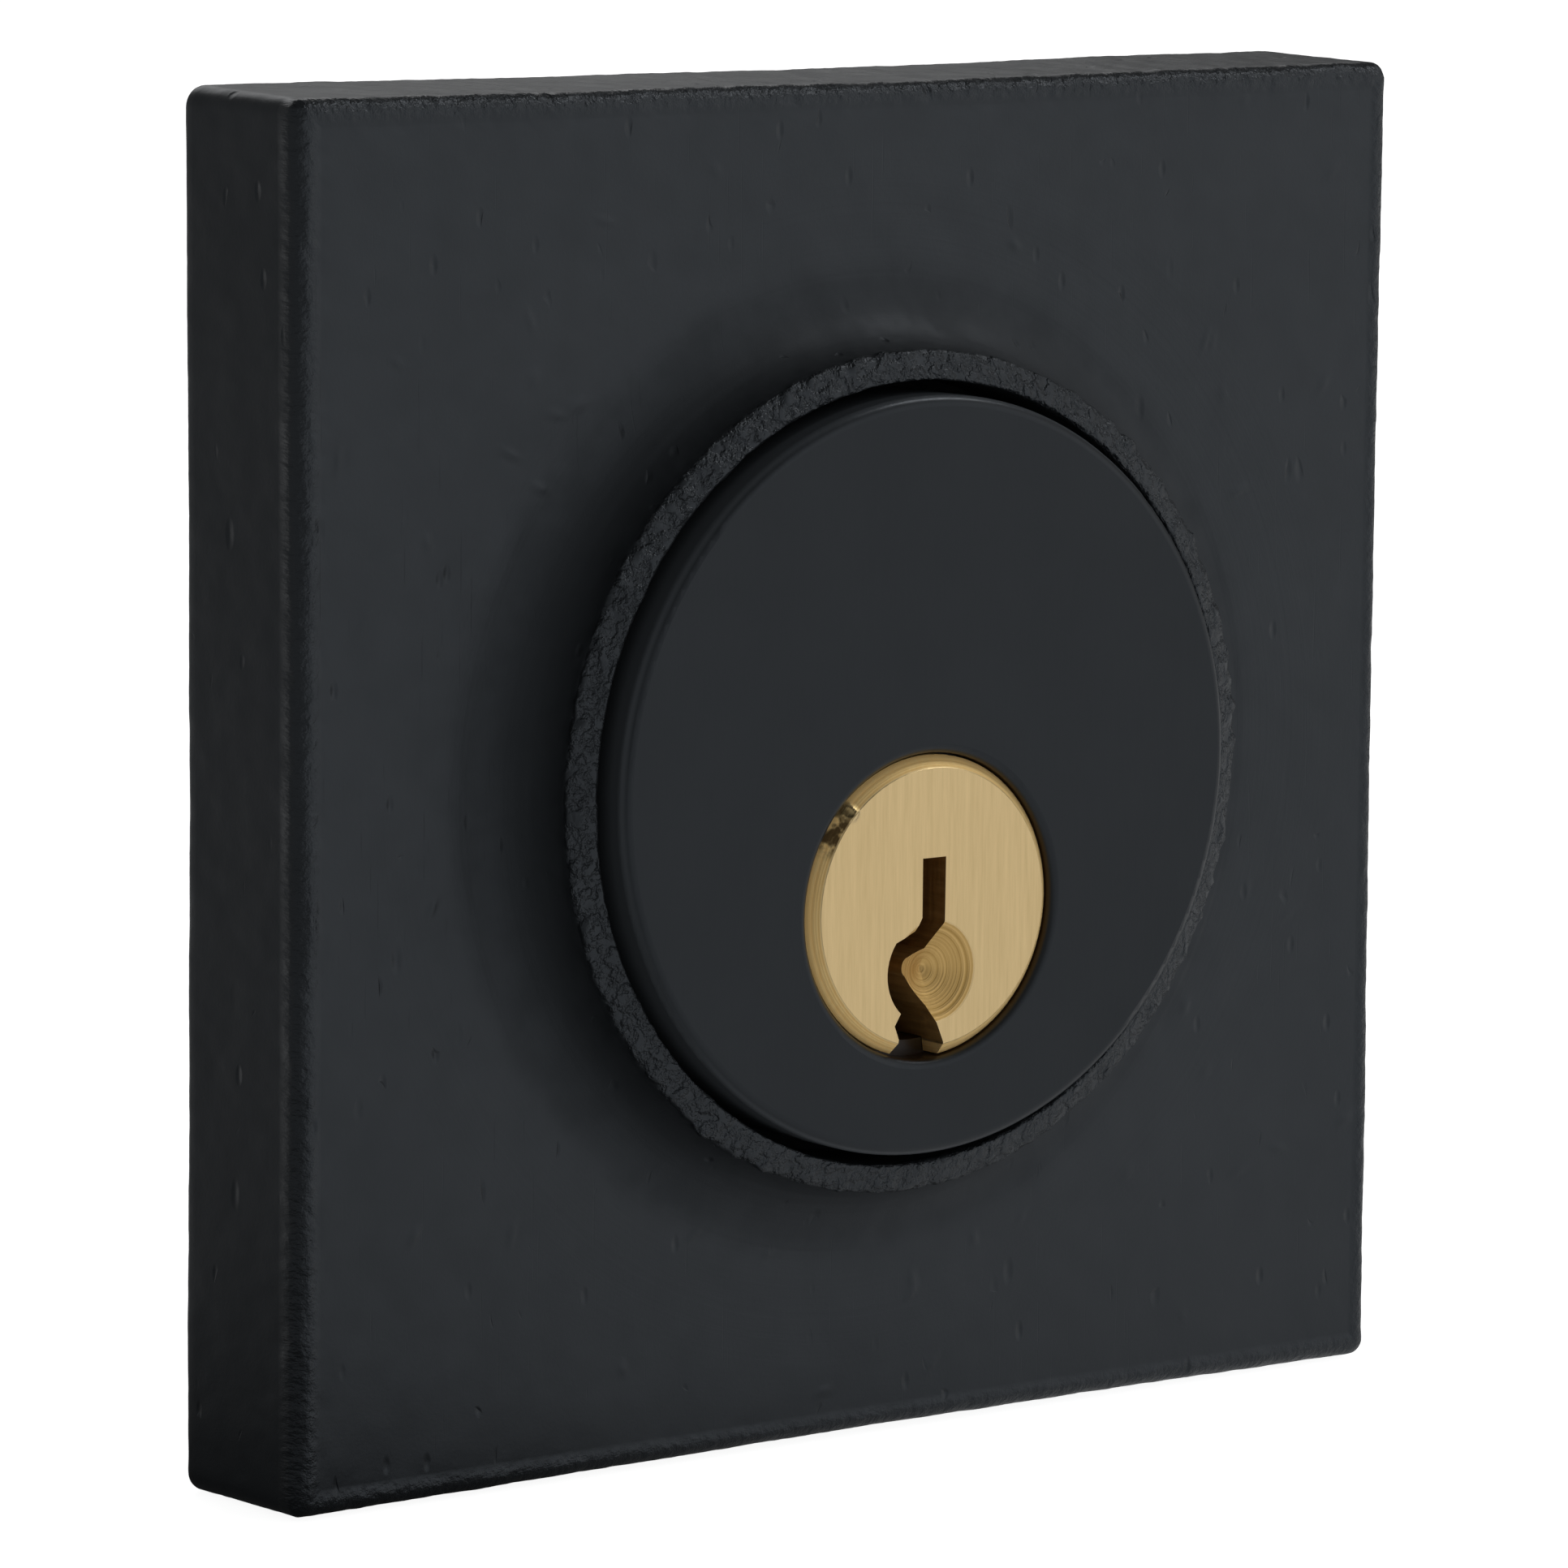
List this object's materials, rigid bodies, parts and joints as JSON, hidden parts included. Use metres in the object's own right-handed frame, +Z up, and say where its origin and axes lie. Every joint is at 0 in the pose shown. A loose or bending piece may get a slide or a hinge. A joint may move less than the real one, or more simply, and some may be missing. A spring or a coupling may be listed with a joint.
{
  "type": "deadbolt lock outside cylinder with square rose",
  "caption": "Keyed outside half of a deadbolt door lock: square cast rose with a flared collar, round lock cylinder, turning brass plug, pin stacks and tailpiece.",
  "frame": {"origin": "centre of the rose and of the screw posts' pattern, in the plane of the door's outside face", "axes": "+Y into the door along the lock's axis, +Z up, +X to the right as the lock is seen from outside"},
  "size_m": [0.0636, 0.0601, 0.0636],
  "materials": {
    "black_cast": "satin black over a hand-worked casting",
    "black_satin": "satin black, smooth",
    "plug_brass": "brushed",
    "brass": "turned",
    "zinc_steel": "zinc plated",
    "spring_steel": "bright"
  },
  "bodies": {
    "housing": {"rose": "black_cast", "cylinder_body": "black_satin", "chamber_cover": "brass", "cylinder_nut": "zinc_steel", "spring_washer": "spring_steel", "mounting_plate": "zinc_steel", "plate_screws": "zinc_steel", "screw_post_left": "zinc_steel", "screw_post_right": "zinc_steel", "pin_spring_1": "spring_steel", "pin_spring_2": "spring_steel", "pin_spring_3": "spring_steel", "pin_spring_4": "spring_steel", "pin_spring_5": "spring_steel"},
    "plug": {"cylinder_plug": "plug_brass", "tailpiece": "zinc_steel", "tailpiece_cap": "plug_brass", "cap_screws": "zinc_steel"},
    "key_pin_1": {"key_pin_1": "brass"},
    "driver_pin_1": {"driver_pin_1": "brass"},
    "key_pin_2": {"key_pin_2": "brass"},
    "driver_pin_2": {"driver_pin_2": "brass"},
    "key_pin_3": {"key_pin_3": "brass"},
    "driver_pin_3": {"driver_pin_3": "brass"},
    "key_pin_4": {"key_pin_4": "brass"},
    "driver_pin_4": {"driver_pin_4": "brass"},
    "key_pin_5": {"key_pin_5": "brass"},
    "driver_pin_5": {"driver_pin_5": "brass"}
  },
  "joints": [
    {"name": "cylinder_plug_turn", "type": "hinge", "parent": "housing", "child": "plug", "pos_m": [0, 0, -0.006], "axis": [0, 1, 0], "range_deg": [0, 90]},
    {"name": "pin_1_drop", "type": "slide", "parent": "plug", "child": "key_pin_1", "axis": [0, 0, 1], "range_m": [-0.0024, 0]},
    {"name": "driver_1_drop", "type": "slide", "parent": "housing", "child": "driver_pin_1", "axis": [0, 0, 1], "range_m": [-0.0024, 0], "deforming": ["pin_spring_1"]},
    {"name": "pin_2_drop", "type": "slide", "parent": "plug", "child": "key_pin_2", "axis": [0, 0, 1], "range_m": [-0.0009, 0]},
    {"name": "driver_2_drop", "type": "slide", "parent": "housing", "child": "driver_pin_2", "axis": [0, 0, 1], "range_m": [-0.0009, 0], "deforming": ["pin_spring_2"]},
    {"name": "pin_3_drop", "type": "slide", "parent": "plug", "child": "key_pin_3", "axis": [0, 0, 1], "range_m": [-0.00165, 0]},
    {"name": "driver_3_drop", "type": "slide", "parent": "housing", "child": "driver_pin_3", "axis": [0, 0, 1], "range_m": [-0.00165, 0], "deforming": ["pin_spring_3"]},
    {"name": "pin_4_drop", "type": "slide", "parent": "plug", "child": "key_pin_4", "axis": [0, 0, 1], "range_m": [-0.0004, 0]},
    {"name": "driver_4_drop", "type": "slide", "parent": "housing", "child": "driver_pin_4", "axis": [0, 0, 1], "range_m": [-0.0004, 0], "deforming": ["pin_spring_4"]},
    {"name": "pin_5_drop", "type": "slide", "parent": "plug", "child": "key_pin_5", "axis": [0, 0, 1], "range_m": [-0.002, 0]},
    {"name": "driver_5_drop", "type": "slide", "parent": "housing", "child": "driver_pin_5", "axis": [0, 0, 1], "range_m": [-0.002, 0], "deforming": ["pin_spring_5"]}
  ],
  "couplings": [
    {"joint": "driver_1_drop", "follows": "pin_1_drop", "ratio": 1},
    {"joint": "driver_2_drop", "follows": "pin_2_drop", "ratio": 1},
    {"joint": "driver_3_drop", "follows": "pin_3_drop", "ratio": 1},
    {"joint": "driver_4_drop", "follows": "pin_4_drop", "ratio": 1},
    {"joint": "driver_5_drop", "follows": "pin_5_drop", "ratio": 1}
  ]
}
